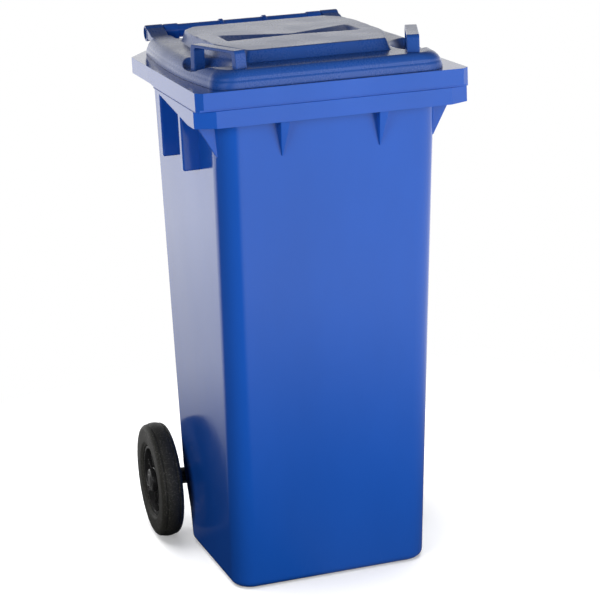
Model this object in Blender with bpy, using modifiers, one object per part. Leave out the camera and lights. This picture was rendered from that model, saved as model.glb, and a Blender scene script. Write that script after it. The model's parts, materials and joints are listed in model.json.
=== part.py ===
"""Two-wheeled wheelie bin of the 80-litre format, built as the real one is assembled.

Units are metres, +Z is up and the front of the bin faces -Y. The origin is on the floor under the
middle of the bin. A moulded body carries a steel axle, and the lid swings on two plastic pins.
"""
import math

import bmesh
import bpy
from mathutils import Matrix, Vector

# ---------------------------------------------------------------- driving dimensions
RIM_HALF_WIDTH = 0.224          # half of the 448 mm lifting rim
RIM_FRONT = -0.262              # front face of the rim
RIM_REAR = 0.232                # rear edge of the rim beside the hinge lugs
RIM_TOP = 0.875
WALL = 0.004                    # moulded wall thickness
GAP = 0.0003                    # running gap between touching pieces

SKIRT_FRONT_LOW = 0.819         # lower edge of the deep front skirt
SKIRT_SIDE_LOW = 0.848          # lower edge of the shallow side skirt
GROOVE_LOW = 0.8455             # groove that splits the front skirt in two bands
GROOVE_HIGH = 0.8490

WEDGE_X = 0.081                 # ribs between the front wall and the skirt
WEDGE_TIP = 0.762
GUSSET_Y = (-0.204, -0.198)     # plates under the skirt at the front corners

REAR_CORNER = 0.014             # upright rear corners of the body
TIGHTEST_CORNER = 0.002
BASE_RADIUS = 0.013             # rounded foot of the body
BASE_FLOOR = 0.012              # inside floor level
BASE_RECESS = 0.005             # shallow recess under the base

AXLE_Y = 0.162
AXLE_Z = 0.104
AXLE_RADIUS = 0.0100
AXLE_HALF_LENGTH = 0.2415
BOSS_OUTER_X = 0.1758           # outer face of the body's axle bosses
BOSS_RADIUS = 0.0190
WHEEL_RADIUS = 0.104
TYRE_INNER_X = 0.2054           # wheel's inner face
TYRE_OUTER_X = 0.2466           # wheel's outer face
TYRE_BORE = 0.0640              # seat of the tyre on the wheel disc

HINGE_Y = 0.2475
HINGE_Z = 0.903
PIN_RADIUS = 0.0050
PIN_HOLE = 0.0054
BARREL_RADIUS = 0.0140
PROUD = 0.0004                  # a barrel's ends stand this far proud of its web
ARM_INNER_X = 0.1462            # the lid's hinge arms
ARM_OUTER_X = 0.1780
SINK_DEPTH = 0.0120             # counterbore for the pin's head
SINK_RADIUS = 0.0100
LUG_INNER_X = 0.1190            # the body's hinge lugs
LUG_OUTER_X = 0.1458
GRIP_RADIUS = 0.0118            # the rear push bar
COLLAR_RADIUS = 0.0145          # collars where its webs meet it
GRIP_FRAME_X = 0.040            # webs that carry the push bar

LID_BOTTOM = RIM_TOP + GAP
LID_BORDER = 0.903              # flat border of the lid
LID_FRONT = -0.253
LID_REAR = 0.206
LID_SHELL = 0.0038
PLATEAU_TOP = 0.9215
REAR_STEP_Y = 0.158             # the lid is lower behind this, for fingers at the push bar
REAR_STEP_Z = 0.893
STRAP_TOP = 0.930
STRAP_FRONT = (0.142, -0.226)   # foot of a lid handle near the front edge
STRAP_REAR = (0.180, -0.118)    # its rear foot
POCKET_CENTRE = (0.167, -0.160)

COLOURS = {
    "blue": ((0.020, 0.105, 0.480), 0.30, 0.0),
    "blue_lid": ((0.018, 0.085, 0.400), 0.30, 0.0),
    "rubber": ((0.020, 0.020, 0.021), 0.75, 0.0),
    "black": ((0.016, 0.016, 0.018), 0.42, 0.0),
    "zinc": ((0.62, 0.62, 0.64), 0.35, 1.0),
    "nylon": ((0.060, 0.060, 0.065), 0.45, 0.0),
}


# ---------------------------------------------------------------- scene and materials
for old in list(bpy.data.objects):
    bpy.data.objects.remove(old)

PARTS = bpy.data.collections.new("wheelie_bin")
CUTTERS = bpy.data.collections.new("cutters")
bpy.context.scene.collection.children.link(PARTS)
bpy.context.scene.collection.children.link(CUTTERS)


def material(name, key):
    colour, roughness, metallic = COLOURS[key]
    mat = bpy.data.materials.new(name)
    mat.use_nodes = True
    shader = mat.node_tree.nodes["Principled BSDF"]
    shader.inputs["Base Color"].default_value = (*colour, 1.0)
    shader.inputs["Roughness"].default_value = roughness
    shader.inputs["Metallic"].default_value = metallic
    mat.diffuse_color = (*colour, 1.0)
    return mat


# ---------------------------------------------------------------- mesh helpers
def mesh_object(name, mesh, collection):
    obj = bpy.data.objects.new(name, mesh)
    collection.objects.link(obj)
    if collection is CUTTERS:
        obj.hide_render = True
        obj.display_type = 'WIRE'
    return obj


def loft(name, rings, collection=CUTTERS):
    """Closed solid through rings of equal point count, listed bottom to top."""
    bm = bmesh.new()
    rows = [[bm.verts.new(point) for point in ring] for ring in rings]
    count = len(rows[0])
    for low, high in zip(rows, rows[1:]):
        for i in range(count):
            j = (i + 1) % count
            bm.faces.new((low[i], low[j], high[j], high[i]))
    bm.faces.new(list(reversed(rows[0])))
    bm.faces.new(rows[-1])
    bmesh.ops.recalc_face_normals(bm, faces=bm.faces)
    mesh = bpy.data.meshes.new(name)
    bm.to_mesh(mesh)
    bm.free()
    return mesh_object(name, mesh, collection)


def box(name, low, high, collection=CUTTERS):
    bm = bmesh.new()
    bmesh.ops.create_cube(bm, size=1.0)
    for vert in bm.verts:
        for axis in range(3):
            middle = (low[axis] + high[axis]) / 2
            vert.co[axis] = middle + vert.co[axis] * (high[axis] - low[axis])
    mesh = bpy.data.meshes.new(name)
    bm.to_mesh(mesh)
    bm.free()
    return mesh_object(name, mesh, collection)


def rod_x(name, x0, x1, radius, y, z, segments=24, collection=CUTTERS):
    """Cylinder along X."""
    bm = bmesh.new()
    turn = Matrix.Rotation(math.pi / 2, 4, 'Y')
    place = Matrix.Translation(((x0 + x1) / 2, y, z)) @ turn
    bmesh.ops.create_cone(bm, cap_ends=True, segments=segments, radius1=radius,
                          radius2=radius, depth=abs(x1 - x0), matrix=place)
    mesh = bpy.data.meshes.new(name)
    bm.to_mesh(mesh)
    bm.free()
    return mesh_object(name, mesh, collection)


def ellipsoid(name, centre, radii, turn, collection=CUTTERS):
    bm = bmesh.new()
    shape = Matrix.Translation(centre) @ Matrix.Rotation(turn, 4, 'Z') @ Matrix.Diagonal((*radii, 1.0))
    bmesh.ops.create_uvsphere(bm, u_segments=24, v_segments=12, radius=1.0, matrix=shape)
    mesh = bpy.data.meshes.new(name)
    bm.to_mesh(mesh)
    bm.free()
    return mesh_object(name, mesh, collection)


def combine(target, tool, operation):
    mod = target.modifiers.new(operation.lower() + "_" + tool.name, 'BOOLEAN')
    mod.operation = operation
    mod.solver = 'EXACT'
    mod.object = tool


def bake(obj, name, collection):
    """A plain mesh object from obj with its modifiers worked out. Its tools are removed."""
    graph = bpy.context.evaluated_depsgraph_get()
    mesh = bpy.data.meshes.new_from_object(obj.evaluated_get(graph))
    location = obj.location.copy()
    rotation = obj.rotation_euler.copy()
    tools = [mod.object for mod in obj.modifiers if mod.type == 'BOOLEAN']
    for tool in tools + [obj]:
        bpy.data.objects.remove(tool)
    baked = mesh_object(name, mesh, collection)
    baked.location = location
    baked.rotation_euler = rotation
    mesh.name = name
    return baked


def turned(name, profile, x_sign, y, z, segments):
    """Work piece turned about an axis along X. Its profile holds (radius, distance outboard) points,
    and runs either round a closed outline or from the axis out and back to the axis."""
    count = len(profile)
    closed = profile[0][0] > 0.0
    links = [(i, (i + 1) % count) for i in range(count if closed else count - 1)]
    mesh = bpy.data.meshes.new(name)
    mesh.from_pydata([(radius, 0.0, distance) for radius, distance in profile], links, [])
    work = mesh_object(name + "_work", mesh, CUTTERS)
    work.location = (0.0, y, z)
    work.rotation_euler = (0.0, x_sign * math.pi / 2, 0.0)
    screw = work.modifiers.new("turn", 'SCREW')
    screw.axis = 'Z'
    screw.steps = segments
    screw.render_steps = segments
    screw.use_merge_vertices = True
    screw.merge_threshold = 0.00001
    return work


# ---------------------------------------------------------------- body
def lerp(a, b, t):
    return a + (b - a) * t


def body_section(z, inset=0.0):
    """Rounded trapezoid of the body at height z, as points counter-clockwise from above."""
    t = z / RIM_TOP
    front = lerp(-0.144, -0.238, t) + inset
    if z < 0.060:
        rear = lerp(0.112, 0.120, z / 0.060)
    elif z < 0.135:
        rear = lerp(0.120, 0.152, (z - 0.060) / 0.075)
    else:
        rear = lerp(0.152, 0.168, (z - 0.135) / (RIM_TOP - 0.135))
    rear -= inset
    half_front = lerp(0.172, 0.1845, t) - inset
    half_rear = lerp(0.186, 0.190, t) - inset
    front_radius = max(lerp(0.036, 0.040, t) - inset, TIGHTEST_CORNER)
    rear_radius = max(REAR_CORNER - inset, TIGHTEST_CORNER)
    slope = (half_rear - half_front) / (rear - front)

    def half_width(y):
        return half_front + slope * (y - front)

    points = []
    steps = 6
    corners = (
        (1, front + front_radius, front_radius, -90),
        (1, rear - rear_radius, rear_radius, 0),
        (-1, rear - rear_radius, rear_radius, 90),
        (-1, front + front_radius, front_radius, 180),
    )
    for side, cy, radius, start in corners:
        cx = side * (half_width(cy) - radius)
        for step in range(steps + 1):
            angle = math.radians(start + 90 * step / steps)
            points.append((cx + radius * math.cos(angle), cy + radius * math.sin(angle), z))
    return points


def body_outer():
    rings = []
    for angle in (0, 22.5, 45, 67.5, 90):
        drop = BASE_RADIUS * (1 - math.sin(math.radians(angle)))
        inset = BASE_RADIUS * (1 - math.cos(math.radians(angle)))
        rings.append((drop, inset))
    low_rings = [body_section(drop, inset) for drop, inset in reversed(rings)]
    heights = (0.060, 0.100, 0.135, 0.300, 0.520, 0.700, RIM_TOP - 0.002)
    return loft("body_outer", low_rings + [body_section(z) for z in heights])


def body_inner():
    heights = (0.060, 0.100, 0.135, 0.300, 0.520, 0.700, RIM_TOP, RIM_TOP + 0.004)
    floor = [body_section(BASE_FLOOR, WALL + 0.010), body_section(BASE_FLOOR + 0.010, WALL)]
    upper = [body_section(z, WALL) for z in heights]
    return loft("body_inner", floor + upper)


def rim_outline(z, half_width, front, chamfer_x, chamfer_y, inset=0.0):
    """Outline of the lifting rim: chamfered front corners, and tapered rear ones."""
    side = half_width - inset
    rear = RIM_REAR - inset
    half = [
        (side - chamfer_x, front + inset),
        (side, front + inset + chamfer_y),
        (side, 0.170),
        (0.184 - inset * 0.4, rear),
    ]
    left = [(-x, y) for x, y in reversed(half)]
    return [(x, y, z) for x, y in half + left]


def rim_solid():
    upper = (RIM_HALF_WIDTH - 0.0015, RIM_FRONT, 0.011, 0.010)
    groove = (RIM_HALF_WIDTH - 0.0015, RIM_FRONT + 0.0050, 0.0055, 0.0050)
    lower = (RIM_HALF_WIDTH, RIM_FRONT + 0.0025, 0.032, 0.016)
    inside = (RIM_HALF_WIDTH, RIM_FRONT + 0.0050, 0.031, 0.018)
    step = 0.0004
    rings = [
        rim_outline(SKIRT_FRONT_LOW, *lower),
        rim_outline(GROOVE_LOW, *lower),
        rim_outline(GROOVE_LOW + step, *groove),
        rim_outline(GROOVE_HIGH, *groove),
        rim_outline(GROOVE_HIGH + step, *upper),
        rim_outline(RIM_TOP - 0.0015, *upper),
        rim_outline(RIM_TOP, *upper, inset=0.0015),
    ]
    rim = loft("rim_block", rings)
    hollow_rings = [rim_outline(z, *inside, inset=WALL)
                    for z in (SKIRT_FRONT_LOW - 0.01, RIM_TOP - WALL)]
    combine(rim, loft("rim_hollow", hollow_rings), 'DIFFERENCE')
    return rim


def side_profile_block(name, x0, x1, outline):
    """A prism across X with the given (y, z) outline."""
    bm = bmesh.new()
    face = bm.faces.new([bm.verts.new((x0, y, z)) for y, z in outline])
    swept = bmesh.ops.extrude_face_region(bm, geom=[face])
    moved = [item for item in swept["geom"] if isinstance(item, bmesh.types.BMVert)]
    bmesh.ops.translate(bm, verts=moved, vec=(x1 - x0, 0.0, 0.0))
    bmesh.ops.recalc_face_normals(bm, faces=bm.faces)
    mesh = bpy.data.meshes.new(name)
    bm.to_mesh(mesh)
    bm.free()
    return mesh_object(name, mesh, CUTTERS)


def plate(x0, x1, y0, y1, z):
    """Level rectangle, as one ring of a loft."""
    return [(x0, y0, z), (x1, y0, z), (x1, y1, z), (x0, y1, z)]


def build_body(mat):
    rim = rim_solid()
    under_sides = side_profile_block("under_sides", -0.30, 0.30, [
        (-0.206, SKIRT_FRONT_LOW - 0.02), (0.300, SKIRT_FRONT_LOW - 0.02),
        (0.300, SKIRT_SIDE_LOW), (0.036, SKIRT_SIDE_LOW), (-0.206, SKIRT_FRONT_LOW - 0.0001)])
    combine(rim, under_sides, 'DIFFERENCE')
    step_x = LUG_INNER_X + 0.0015
    rear_step = box("rear_step", (-step_x, 0.198, 0.80), (step_x, 0.30, 0.90))
    combine(rim, rear_step, 'DIFFERENCE')
    body = body_outer()
    combine(body, bake(rim, "rim", CUTTERS), 'UNION')

    for sign in (-1, 1):
        for index, y in enumerate((-0.1115, 0.0220)):
            wall, outer = sorted((sign * 0.180, sign * 0.2125))
            fin = box(f"fin_{sign}_{index}", (wall, y, 0.7270), (outer, y + 0.0165, 0.8600))
            combine(body, fin, 'UNION')
        middle = sign * WEDGE_X
        wedge = loft(f"wedge_{sign}", [
            plate(middle - 0.0015, middle + 0.0015, -0.2285, -0.2150, WEDGE_TIP),
            plate(middle - 0.0095, middle + 0.0095, -0.2585, -0.2150, 0.830)])
        combine(body, wedge, 'UNION')
        gusset = loft(f"gusset_{sign}", [
            plate(sign * 0.150, sign * 0.1808, *GUSSET_Y, WEDGE_TIP + 0.002),
            plate(sign * 0.150, sign * 0.2205, *GUSSET_Y, 0.835)])
        combine(body, gusset, 'UNION')

    add_hinge_lugs(body)
    add_axle_bosses(body)
    combine(body, body_inner(), 'DIFFERENCE')
    recess = loft("base_recess", [
        body_section(-0.004, 0.030),
        [(x, y, BASE_RECESS) for x, y, _ in body_section(0.0, 0.033)]])
    combine(body, recess, 'DIFFERENCE')
    for sign in (-1, 1):
        x0, x1 = sorted((sign * (LUG_INNER_X - 0.0005), sign * (LUG_OUTER_X + 0.002)))
        combine(body, rod_x(f"pin_hole_{sign}", x0, x1, PIN_HOLE, HINGE_Y, HINGE_Z, 20), 'DIFFERENCE')
    combine(body, rod_x("axle_hole", -0.20, 0.20, AXLE_RADIUS + 0.0005, AXLE_Y, AXLE_Z, 24), 'DIFFERENCE')
    finish("body_shell", body, mat, 30)


def add_hinge_lugs(body):
    """Two hinge lugs at the rear corners, the push bar between them and its two webs."""
    arm = [(0.190, 0.852), (0.2300, 0.852), (HINGE_Y - 0.004, HINGE_Z - 0.0300),
           (HINGE_Y + 0.0120, HINGE_Z - 0.0060), (HINGE_Y + 0.0120, HINGE_Z + 0.0060),
           (HINGE_Y - 0.0120, HINGE_Z + 0.0060), (HINGE_Y - 0.0160, RIM_TOP - 0.001),
           (0.190, RIM_TOP - 0.001)]
    for sign in (-1, 1):
        x0, x1 = sorted((sign * LUG_INNER_X, sign * LUG_OUTER_X))
        combine(body, side_profile_block(f"lug_{sign}", x0 + PROUD, x1 - PROUD, arm), 'UNION')
        barrel = rod_x(f"lug_barrel_{sign}", x0, x1, BARREL_RADIUS - 0.0005, HINGE_Y, HINGE_Z)
        combine(body, barrel, 'UNION')
    grip_end = LUG_INNER_X + 0.0040
    combine(body, rod_x("push_bar", -grip_end, grip_end, GRIP_RADIUS, HINGE_Y, HINGE_Z, 20), 'UNION')
    web = [(0.160, 0.835), (0.205, 0.845), (HINGE_Y, HINGE_Z - 0.0125),
           (HINGE_Y - 0.0130, HINGE_Z - 0.0020), (0.2110, RIM_TOP - 0.0015), (0.160, RIM_TOP - 0.0015)]
    for sign in (-1, 1):
        x0 = sign * GRIP_FRAME_X - 0.0030
        x1 = sign * GRIP_FRAME_X + 0.0030
        combine(body, side_profile_block(f"web_{sign}", x0, x1, web), 'UNION')
        collar = rod_x(f"web_collar_{sign}", x0 - PROUD, x1 + PROUD, COLLAR_RADIUS, HINGE_Y, HINGE_Z, 20)
        combine(body, collar, 'UNION')


def add_axle_bosses(body):
    """Bored bosses behind the foot of the rear wall, which carry the axle."""
    plate = [(0.105, 0.070), (AXLE_Y, AXLE_Z - BOSS_RADIUS), (AXLE_Y, AXLE_Z + BOSS_RADIUS), (0.140, 0.165)]
    for sign in (-1, 1):
        for x_near, x_far in ((0.148, BOSS_OUTER_X), (0.060, 0.072)):
            x0, x1 = sorted((sign * x_near, sign * x_far))
            combine(body, side_profile_block(f"boss_plate_{x0}", x0 + PROUD, x1 - PROUD, plate), 'UNION')
            combine(body, rod_x(f"boss_{x0}", x0, x1, BOSS_RADIUS, AXLE_Y, AXLE_Z), 'UNION')


def finish(name, work, mat, sharp_angle):
    """Work out the modifiers, clean the mesh and make the finished part."""
    work.name = name + "_work"
    part = bake(work, name, PARTS)
    bm = bmesh.new()
    bm.from_mesh(part.data)
    bmesh.ops.remove_doubles(bm, verts=bm.verts, dist=0.00002)
    bmesh.ops.dissolve_degenerate(bm, edges=bm.edges, dist=0.00002)
    bmesh.ops.recalc_face_normals(bm, faces=bm.faces)
    bm.to_mesh(part.data)
    bm.free()
    part.data.materials.clear()
    part.data.materials.append(mat)
    part.data.shade_smooth()
    part.data.set_sharp_from_angle(angle=math.radians(sharp_angle))
    return part


# ---------------------------------------------------------------- lid
def lid_half_width(y):
    """Half width of the lid, widest a little ahead of the middle."""
    widest = -0.045
    bow = 0.45 if y < widest else 0.24
    return 0.205 - bow * (y - widest) ** 2


def lid_outline(z, front_in, side_in, rear_in):
    """Outline of the lid at one height, pulled in by its own amount at the front, sides and rear."""
    front = LID_FRONT + front_in
    rear = LID_REAR - rear_in
    corner = 0.036
    half = []
    side_at_corner = lid_half_width(front + corner) - side_in
    for step in range(7):
        angle = math.radians(-90 + 90 * step / 6)
        half.append((side_at_corner - corner + corner * math.cos(angle),
                     front + corner + corner * math.sin(angle)))
    for y in (-0.150, -0.080, -0.010, 0.060, 0.120, 0.165):
        half.append((lid_half_width(y) - side_in, y))
    half.append((lid_half_width(0.185) - side_in - 0.002, min(0.188, rear - 0.004)))
    half.append((lid_half_width(0.185) - side_in - 0.016, rear))
    left = [(-x, y) for x, y in reversed(half)]
    return [(x, y, z) for x, y in half + left]


LID_LAYERS = (                  # height, then how far the front, sides and rear have pulled in
    (LID_BOTTOM, 0.0000, 0.0000, 0.0000),
    (0.8860, 0.0006, 0.0020, 0.0005),
    (0.8940, 0.0022, 0.0070, 0.0015),
    (0.8995, 0.0058, 0.0140, 0.0035),
    (LID_BORDER, 0.0120, 0.0230, 0.0080),
)


def plateau_outline(z, inset):
    half = [(0.119, -0.188), (0.148, -0.088), (0.152, 0.060), (0.146, 0.118), (0.118, 0.150)]
    shrunk = [(x - inset * 0.8, y + (inset if y < 0 else -inset)) for x, y in half]
    shrunk[1] = (half[1][0] - inset, half[1][1])
    shrunk[2] = (half[2][0] - inset, half[2][1])
    left = [(-x, y) for x, y in reversed(shrunk)]
    return [(x, y, z) for x, y in shrunk + left]


def build_lid(mat):
    lid = loft("lid_outer", [lid_outline(*layer) for layer in LID_LAYERS])
    plateau = loft("plateau", [plateau_outline(LID_BORDER - 0.004, -0.002),
                               plateau_outline(PLATEAU_TOP - 0.002, 0.006),
                               plateau_outline(PLATEAU_TOP, 0.009)])
    combine(lid, plateau, 'UNION')

    hollow = loft("lid_hollow", [
        [(x, y, z - LID_SHELL - (0.004 if i == 0 else 0.0)) for x, y, z in
         lid_outline(layer[0], layer[1] + LID_SHELL, layer[2] + LID_SHELL, layer[3] + LID_SHELL)]
        for i, layer in enumerate(LID_LAYERS)])
    inside = loft("plateau_hollow", [plateau_outline(LID_BORDER - 0.010, 0.003),
                                     plateau_outline(PLATEAU_TOP - LID_SHELL, 0.010)])
    combine(hollow, inside, 'UNION')
    low_x = ARM_INNER_X - 0.004 + LID_SHELL
    low_corner = (-low_x, REAR_STEP_Y - LID_SHELL, REAR_STEP_Z - LID_SHELL)
    combine(hollow, box("rear_low_inside", low_corner, (low_x, 0.30, 0.93)), 'DIFFERENCE')

    turn = math.atan2(STRAP_REAR[0] - STRAP_FRONT[0], STRAP_REAR[1] - STRAP_FRONT[1])
    for sign in (-1, 1):
        centre = (sign * POCKET_CENTRE[0], POCKET_CENTRE[1], LID_BORDER + 0.002)
        bowl = ellipsoid(f"bowl_{sign}", centre, (0.0245, 0.0485, 0.0165), -sign * turn)
        combine(hollow, bowl, 'DIFFERENCE')
    combine(lid, bake(hollow, "hollow", CUTTERS), 'DIFFERENCE')

    groove_outline = (
        (-0.002, -0.0500), (0.085, -0.0650), (0.106, -0.0420), (0.088, -0.0230), (-0.002, -0.0420))
    for sign in (-1, 1):
        centre = (sign * POCKET_CENTRE[0], POCKET_CENTRE[1], LID_BORDER + 0.002)
        pocket = ellipsoid(f"pocket_{sign}", centre, (0.0210, 0.0450, 0.0130), -sign * turn)
        combine(lid, pocket, 'DIFFERENCE')
        groove = loft(f"groove_{sign}", [[(sign * x, y, z) for x, y in groove_outline]
                                         for z in (PLATEAU_TOP - 0.0012, PLATEAU_TOP + 0.004)])
        combine(lid, groove, 'DIFFERENCE')
    low_x = ARM_INNER_X - 0.004
    combine(lid, box("rear_low", (-low_x, REAR_STEP_Y, REAR_STEP_Z), (low_x, 0.30, 0.93)), 'DIFFERENCE')
    for sign in (-1, 1):
        add_strap(lid, sign)
        add_hinge_arm(lid, sign)
    part = finish("lid", lid, mat, 30)
    part.data.transform(Matrix.Translation((0.0, -HINGE_Y, -HINGE_Z)))
    part.location = (0.0, HINGE_Y, HINGE_Z)


def add_strap(lid, sign):
    """Bridge-shaped lid handle over its finger pocket."""
    front = Vector((sign * STRAP_FRONT[0], STRAP_FRONT[1], 0.0))
    rear = Vector((sign * STRAP_REAR[0], STRAP_REAR[1], 0.0))
    along = (rear - front).normalized()
    across = Vector((along.y, -along.x, 0.0))
    half_width = 0.0100
    length = (rear - front).length
    foot = LID_BORDER - 0.0075
    outline = [(-0.0045, foot), (0.0050, foot), (0.0070, 0.9235), (0.0100, 0.9250),
               (length - 0.0100, 0.9250), (length - 0.0070, 0.9235), (length - 0.0050, foot),
               (length + 0.0045, foot), (length + 0.0030, 0.9270), (length - 0.0010, STRAP_TOP),
               (0.0010, STRAP_TOP), (-0.0030, 0.9270)]
    rings = []
    for side in (-half_width, half_width):
        ring = []
        for distance, z in outline:
            point = front + along * distance + across * side
            ring.append((point.x, point.y, z))
        rings.append(ring)
    combine(lid, loft(f"strap_{sign}", rings), 'UNION')


def add_hinge_arm(lid, sign):
    """Arm from the lid's rear edge to its barrel around the hinge pin."""
    x0, x1 = sorted((sign * ARM_INNER_X, sign * ARM_OUTER_X))
    arm = [(LID_REAR - 0.022, 0.8900), (HINGE_Y, 0.8930), (HINGE_Y, HINGE_Z + 0.0125),
           (LID_REAR + 0.008, HINGE_Z + 0.0050), (LID_REAR - 0.022, LID_BORDER - 0.0012)]
    combine(lid, side_profile_block(f"arm_{sign}", x0 + PROUD, x1 - PROUD, arm), 'UNION')
    combine(lid, rod_x(f"barrel_{sign}", x0, x1, BARREL_RADIUS, HINGE_Y, HINGE_Z, 28), 'UNION')
    bore0, bore1 = sorted((sign * (ARM_INNER_X - 0.002), sign * (ARM_OUTER_X + 0.002)))
    combine(lid, rod_x(f"bore_{sign}", bore0, bore1, PIN_HOLE, HINGE_Y, HINGE_Z, 20), 'DIFFERENCE')
    sink0, sink1 = sorted((sign * (ARM_OUTER_X - SINK_DEPTH), sign * (ARM_OUTER_X + 0.002)))
    combine(lid, rod_x(f"sink_{sign}", sink0, sink1, SINK_RADIUS, HINGE_Y, HINGE_Z, 24), 'DIFFERENCE')


# ---------------------------------------------------------------- hinge pins, axle and wheels
def build_hinge_pin(side, sign, mat):
    head = ARM_OUTER_X - SINK_DEPTH + GAP
    end = LUG_INNER_X + 0.0010
    profile = [(0.0, head + 0.0042), (0.0080, head + 0.0042), (0.0092, head + 0.0030), (0.0092, head),
               (PIN_RADIUS, head), (PIN_RADIUS, end + 0.0015), (PIN_RADIUS - 0.0010, end), (0.0, end)]
    pin = turned(f"hinge_pin_{side}", profile, sign, HINGE_Y, HINGE_Z, 20)
    finish(f"hinge_pin_{side}", pin, mat, 35)


def build_axle(mat):
    end = AXLE_HALF_LENGTH
    edge = AXLE_RADIUS - 0.0012
    profile = [(0.0, end), (edge, end), (AXLE_RADIUS, end - 0.0012),
               (AXLE_RADIUS, -end + 0.0012), (edge, -end), (0.0, -end)]
    finish("axle", turned("axle", profile, 1, AXLE_Y, AXLE_Z, 24), mat, 35)


def tyre_profile():
    """Solid tyre: crowned tread, rounded shoulders and a bead set in beside the wheel disc."""
    half = (TYRE_OUTER_X - TYRE_INNER_X) / 2
    middle = (TYRE_OUTER_X + TYRE_INNER_X) / 2
    outboard = [(TYRE_BORE, half - 0.0045), (TYRE_BORE + 0.0030, half - 0.0030), (TYRE_BORE + 0.0080, half),
                (WHEEL_RADIUS - 0.0150, half), (WHEEL_RADIUS - 0.0070, half - 0.0025),
                (WHEEL_RADIUS - 0.0020, half - 0.0075), (WHEEL_RADIUS, half - 0.0130)]
    inboard = [(radius, -distance) for radius, distance in reversed(outboard)]
    return [(radius, middle + distance) for radius, distance in outboard + inboard]


def build_wheel(side, sign, mats):
    """Tyre, riveted disc with its hub, bush, retaining ring and cap of one wheel."""
    middle = (TYRE_OUTER_X + TYRE_INNER_X) / 2
    web_in = middle - 0.0045
    web_out = middle + 0.0035
    hub_in = TYRE_INNER_X + 0.0006
    hub_out = TYRE_OUTER_X - 0.0100
    hub_bore = 0.0136
    seat = TYRE_BORE - GAP

    def make(name, profile, mat_key, segments, y=AXLE_Y, z=AXLE_Z):
        finish(name, turned(name, profile, sign, y, z, segments), mats[mat_key], 35)

    make(f"tyre_{side}", tyre_profile(), "rubber", 48)

    disc = [(hub_bore, hub_out), (0.0225, hub_out), (0.0240, web_out), (0.0555, web_out),
            (0.0585, middle + 0.0150), (seat, middle + 0.0150), (seat, middle - 0.0140),
            (0.0575, middle - 0.0140), (0.0550, web_in), (0.0225, web_in), (0.0190, hub_in),
            (hub_bore, hub_in)]
    work = turned(f"wheel_rim_{side}", disc, sign, AXLE_Y, AXLE_Z, 40)
    for index, (y, z) in enumerate(rivet_places()):
        x0, x1 = sorted((sign * (middle - 0.02), sign * (middle + 0.02)))
        combine(work, rod_x(f"rivet_hole_{side}_{index}", x0, x1, 0.0034, y, z, 12), 'DIFFERENCE')
    finish(f"wheel_rim_{side}", work, mats["black"], 35)

    bush = [(AXLE_RADIUS + GAP, hub_out - 0.0002), (hub_bore - GAP, hub_out - 0.0002),
            (hub_bore - GAP, hub_in + 0.0002), (AXLE_RADIUS + GAP, hub_in + 0.0002)]
    make(f"wheel_bush_{side}", bush, "nylon", 24)

    ring = [(AXLE_RADIUS + GAP, hub_out + 0.0026), (0.0160, hub_out + 0.0020),
            (0.0165, hub_out + 0.0004), (AXLE_RADIUS + GAP, hub_out + 0.0004)]
    make(f"retaining_ring_{side}", ring, "zinc", 24)

    cap = [(0.0, hub_out + 0.0104), (0.0120, hub_out + 0.0100), (0.0190, hub_out + 0.0086),
           (0.0215, hub_out + 0.0060), (0.0218, hub_out + GAP), (0.0178, hub_out + GAP),
           (0.0174, hub_out + 0.0050), (0.0150, hub_out + 0.0066), (0.0, hub_out + 0.0066)]
    make(f"hub_cap_{side}", cap, "black", 32)

    head = web_out + GAP
    tail = web_in - GAP
    rivet = [(0.0, head + 0.0036), (0.0030, head + 0.0036), (0.0054, head + 0.0026), (0.0060, head),
             (0.0030, head), (0.0030, tail), (0.0052, tail), (0.0045, tail - 0.0022), (0.0, tail - 0.0022)]
    for index, (y, z) in enumerate(rivet_places()):
        make(f"rim_rivet_{side}_{index + 1}", rivet, "zinc", 16, y, z)


def rivet_places():
    """Centres of the four rivets in a wheel disc."""
    places = []
    for step in range(4):
        angle = math.radians(45 + 90 * step + 15)
        places.append((AXLE_Y + 0.0460 * math.cos(angle), AXLE_Z + 0.0460 * math.sin(angle)))
    return places


def build_sleeve(side, sign, mat):
    """Spacer on the axle between the body's boss and the wheel."""
    boss_side = BOSS_OUTER_X + 0.0004
    wheel_side = TYRE_INNER_X + 0.0002
    profile = [(AXLE_RADIUS + GAP, wheel_side), (0.0150, wheel_side), (0.0150, boss_side),
               (AXLE_RADIUS + GAP, boss_side)]
    sleeve = turned(f"axle_sleeve_{side}", profile, sign, AXLE_Y, AXLE_Z, 24)
    finish(f"axle_sleeve_{side}", sleeve, mat, 35)


def main():
    mats = {key: material(key, key) for key in COLOURS}
    build_body(mats["blue"])
    build_lid(mats["blue_lid"])
    build_axle(mats["zinc"])
    for side, sign in (("left", -1), ("right", 1)):
        build_hinge_pin(side, sign, mats["blue_lid"])
        build_sleeve(side, sign, mats["black"])
        build_wheel(side, sign, mats)


main()
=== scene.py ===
"""Looks of the wheelie bin: finished moulded body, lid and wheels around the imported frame."""
import json
import math

import bmesh
import bpy
import numpy as np
from mathutils import Matrix, Vector

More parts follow.
